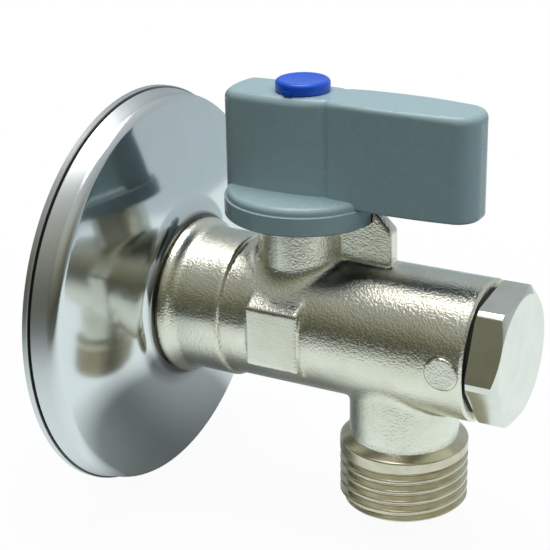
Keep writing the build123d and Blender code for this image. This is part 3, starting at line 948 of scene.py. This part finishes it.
# %% Inner pieces
yellow = (0.78, 0.60, 0.30), (0.66, 0.49, 0.22), 0.24, 0.10, 0.003
mirror = (0.82, 0.83, 0.85), (0.78, 0.79, 0.81), 0.08, 0.15, 0.0006
zinc = (0.62, 0.63, 0.62), (0.52, 0.53, 0.52), 0.30, 0.10, 0.002
steel = (0.66, 0.66, 0.65), (0.58, 0.58, 0.57), 0.28, 0.10, 0.002
white_seat = (0.82, 0.82, 0.79), (0.77, 0.77, 0.74), 0.45, 0.3, 0.006
black_seal = (0.022, 0.022, 0.023), (0.016, 0.016, 0.017), 0.62, 0.25, 0.012
inner = {
    turned_metal("machined_brass", *yellow, "X"): ("seat_retainer", "filter_end_ring"),
    turned_metal("spindle_brass", *yellow, "Z", stem_x): ("stem", "gland_nut"),
    turned_metal("ball_chrome", *mirror, "X"): ("ball",),
    turned_metal("plated_steel", *zinc, "Z", stem_x): ("handle_screw", "screw_washer"),
    moulded("seat_white", *white_seat): ("inlet_seat", "outlet_seat", "stem_slip_washer"),
    moulded("seal_black", *black_seal): ("stem_oring_lower", "stem_oring_upper", "plug_gasket"),
}
for material, names in inner.items():
    for name in names:
        dress(nodes[name], material)
        shade(nodes[name], 30)
dress(screen, turned_metal("punched_steel", *steel, "X"))
print("finishes on", sum(len(names) for names in inner.values()), "inner pieces")

# %% [markdown]
# Polished metal is only as good as what it mirrors. The studio here has a pale card under the
# valve, a pale wall behind it, a dim room on the camera's side and a soft lamp overhead. The
# world draws wall and room as two ramps over the height, mixed from front to rear and dimmed
# behind the rosette. The camera sees it white, and so does polished metal in part, where it
# looks at the wall, less so on the left.

# %% World
world = bpy.data.worlds.new("studio")
bpy.context.scene.world = world
world.use_nodes = True
tree = world.node_tree
sky = tree.nodes["Background"]


def ramp_over(value, stops):
    """Colour ramp from (position, colour) stops."""
    ramp = add(tree, "ValToRGB", {"Fac": value})
    while len(ramp.color_ramp.elements) < len(stops):
        ramp.color_ramp.elements.new(0.5)
    for element, (position, colour) in zip(ramp.color_ramp.elements, stops):
        element.position = position
        element.color = (*colour, 1)
    return ramp.outputs["Color"]


heading = axes(tree, add(tree, "TexCoord").outputs["Generated"])
height = spread(tree, heading["Z"], 0.0, 1.0, -1.0, 1.0)
rear = spread(tree, heading["Y"], 0.0, 1.0, -0.25, 0.45)
room = ramp_over(height, [
    (0.40, (0.13, 0.135, 0.12)), (0.50, (0.075, 0.077, 0.06)), (0.66, (0.19, 0.195, 0.14)),
    (0.76, (0.35, 0.36, 0.28)), (0.86, (0.48, 0.50, 0.46)), (1.0, (0.56, 0.59, 0.60)),
])
wall_light = ramp_over(height, [
    (0.45, (0.28, 0.43, 0.48)), (0.55, (0.27, 0.38, 0.43)),
    (0.72, (0.24, 0.32, 0.36)), (1.0, (0.54, 0.57, 0.58)),
])
black, pure_white = (0, 0, 0, 1), (1, 1, 1, 1)
left_side = spread(tree, heading["X"], 0.35, 1.0, -0.9, -0.2)
studio = blend(tree, left_side, black, blend(tree, rear, room, wall_light))

path = add(tree, "LightPath").outputs
clear_view = reckon(tree, "MAXIMUM", path["Is Camera Ray"], path["Is Transmission Ray"])
wall_share = spread(tree, heading["X"], 0.12, 0.32, -0.6, 0.0)
mirrored = reckon(tree, "MULTIPLY", path["Is Glossy Ray"], rear)
mirrored = reckon(tree, "MULTIPLY", mirrored, wall_share)
seen = reckon(tree, "MAXIMUM", clear_view, mirrored)
fill(tree, sky.inputs, {"Color": blend(tree, seen, studio, pure_white)})
print("world: studio ramps, white to the camera")

# %% [markdown]
# One soft lamp, nearly overhead and a little to the left, draws the bright band along the
# barrel. A second one lights matt surfaces only: it is hidden from mirror rays, so the top of
# the lever comes up without a second band on the metal.

# %% Lamps
def soft_lamp(name, heading_to, distance, size, power, in_mirrors=True):
    """Rectangular area lamp that looks at the valve from a direction."""
    lamp = bpy.data.objects.new(name, bpy.data.lights.new(name, "AREA"))
    bpy.context.collection.objects.link(lamp)
    lamp.data.shape, lamp.data.size, lamp.data.size_y = "RECTANGLE", size[0], size[1]
    lamp.data.energy = power
    lamp.visible_glossy = in_mirrors
    direction = Vector(heading_to).normalized()
    lamp.matrix_world = direction.to_track_quat("Z", "Y").to_matrix().to_4x4()
    lamp.matrix_world.translation = camera_target * MM + direction * distance


soft_lamp("overhead_softbox", (-0.12, 0.08, 0.99), 0.55, (0.34, 0.36), 1.4)
soft_lamp("matt_fill", (0.22, -0.04, 0.97), 0.5, (0.4, 0.5), 1.3, in_mirrors=False)
print("two lamps")

# %% [markdown]
# The floor is a pale card just under the rosette's rim. It ends a hand's breadth in front of
# the valve and grows dim towards that edge, which gives the metal the dark line it needs under
# its bright band. In mirrors it also carries a painted shadow round the rosette's foot. Light
# that it throws back on matt surfaces is held low.

# %% Floor
floor_z = cad_box[0].z - 0.0002
front_y, rear_y, side_x = -0.16, 0.25, 0.55
bright_from_y = -0.022
foot, foot_near, foot_far = (0.014, 0.008, floor_z), 0.022, 0.036
outline = [(-side_x, front_y), (side_x, front_y), (side_x, rear_y), (-side_x, rear_y)]
sheet_of_card = bpy.data.meshes.new("floor")
sheet_of_card.from_pydata([(px, py, floor_z) for px, py in outline], [], [(0, 1, 2, 3)])
floor = place("floor", sheet_of_card)

card, tree, shader = start("pale_card", 0.0, 0.9, (0.8, 0.8, 0.8))
where = add(tree, "TexCoord").outputs["Object"]
path = add(tree, "LightPath").outputs
reach = spread(tree, axes(tree, where)["Y"], 0.12, 1.0, front_y, bright_from_y)
# Painted shadow: in mirrors the card is darker round the rosette's foot.
clear_of_painted_shadow = spread(tree, vector(tree, "DISTANCE", where, foot), 0.1, 1.0, foot_near, foot_far)
in_shade = reckon(tree, "MAXIMUM", clear_of_painted_shadow, path["Is Camera Ray"])
in_shade = reckon(tree, "MULTIPLY", spread(tree, in_shade, 0.4, 1.0, 0.0, 1.0), reach)
pale = blend(tree, in_shade, black, (0.76, 0.82, 0.82, 1))
shown = reckon(tree, "MAXIMUM", path["Is Camera Ray"], path["Is Glossy Ray"])
fill(tree, shader.inputs, {"Base Color": blend(tree, shown, (0.17, 0.23, 0.29, 1), pale)})
dress(floor, card)
floor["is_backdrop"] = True
print(f"floor at {floor_z / MM:.2f} mm")

# %% [markdown]
# The camera has to see the card as white as the background and still see the valve's shadow.
# So a large share of the card is plain white light, and a small share takes the shadow; it
# fades out with distance, and the card's edges vanish. Mirrors get their share without the
# real shadow, dimmed instead by the painted shadow round the rosette's foot and towards the
# front edge. From below the card is clear, for views that look up.

# %% How the card is seen
middle, fade_near, fade_far = (0.03, 0.0, floor_z), 0.08, 0.15
# The mirrors' share of glow carries the same painted shadow.
spill = reckon(tree, "MULTIPLY", reckon(tree, "MULTIPLY", clear_of_painted_shadow, reach), path["Is Glossy Ray"])
white = blend(tree, path["Is Camera Ray"], (0.90, 1, 1, 1), pure_white)
glow = add(tree, "Emission", {"Color": white, "Strength": 1.0}).outputs["Emission"]
fade = spread(tree, vector(tree, "DISTANCE", where, middle), 0.955, 1.0, fade_near, fade_far)
share = reckon(tree, "ADD", reckon(tree, "MULTIPLY", path["Is Camera Ray"], fade), spill)
lit = add(tree, "MixShader", {0: share, 1: shader.outputs["BSDF"], 2: glow}).outputs["Shader"]
under = add(tree, "NewGeometry").outputs["Backfacing"]
clear = add(tree, "BsdfTransparent").outputs["BSDF"]
sides = add(tree, "MixShader", {0: under, 1: lit, 2: clear}).outputs["Shader"]
fill(tree, tree.nodes["Material Output"].inputs, {"Surface": sides})
print("card: white to the camera, with the valve's shadow")

# %% [markdown]
# The last cell sets the view transform, so that colours render as they are written. Light
# that polished metal throws on plastic is left out, which keeps the lever dark on the side
# towards the rosette. A note of the CAD model's box beside the dressed one ends the lesson:
# no piece may grow past the real size.

# %% Sizes and end
bpy.context.scene.view_settings.view_transform = "Standard"
bpy.context.scene.cycles.caustics_reflective = False
dressed_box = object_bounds()
for axis, a, b in zip("XYZ", cad_box[1] - cad_box[0], dressed_box[1] - dressed_box[0]):
    print(f"{axis}: CAD {a / MM:.2f} mm, dressed {b / MM:.2f} mm")
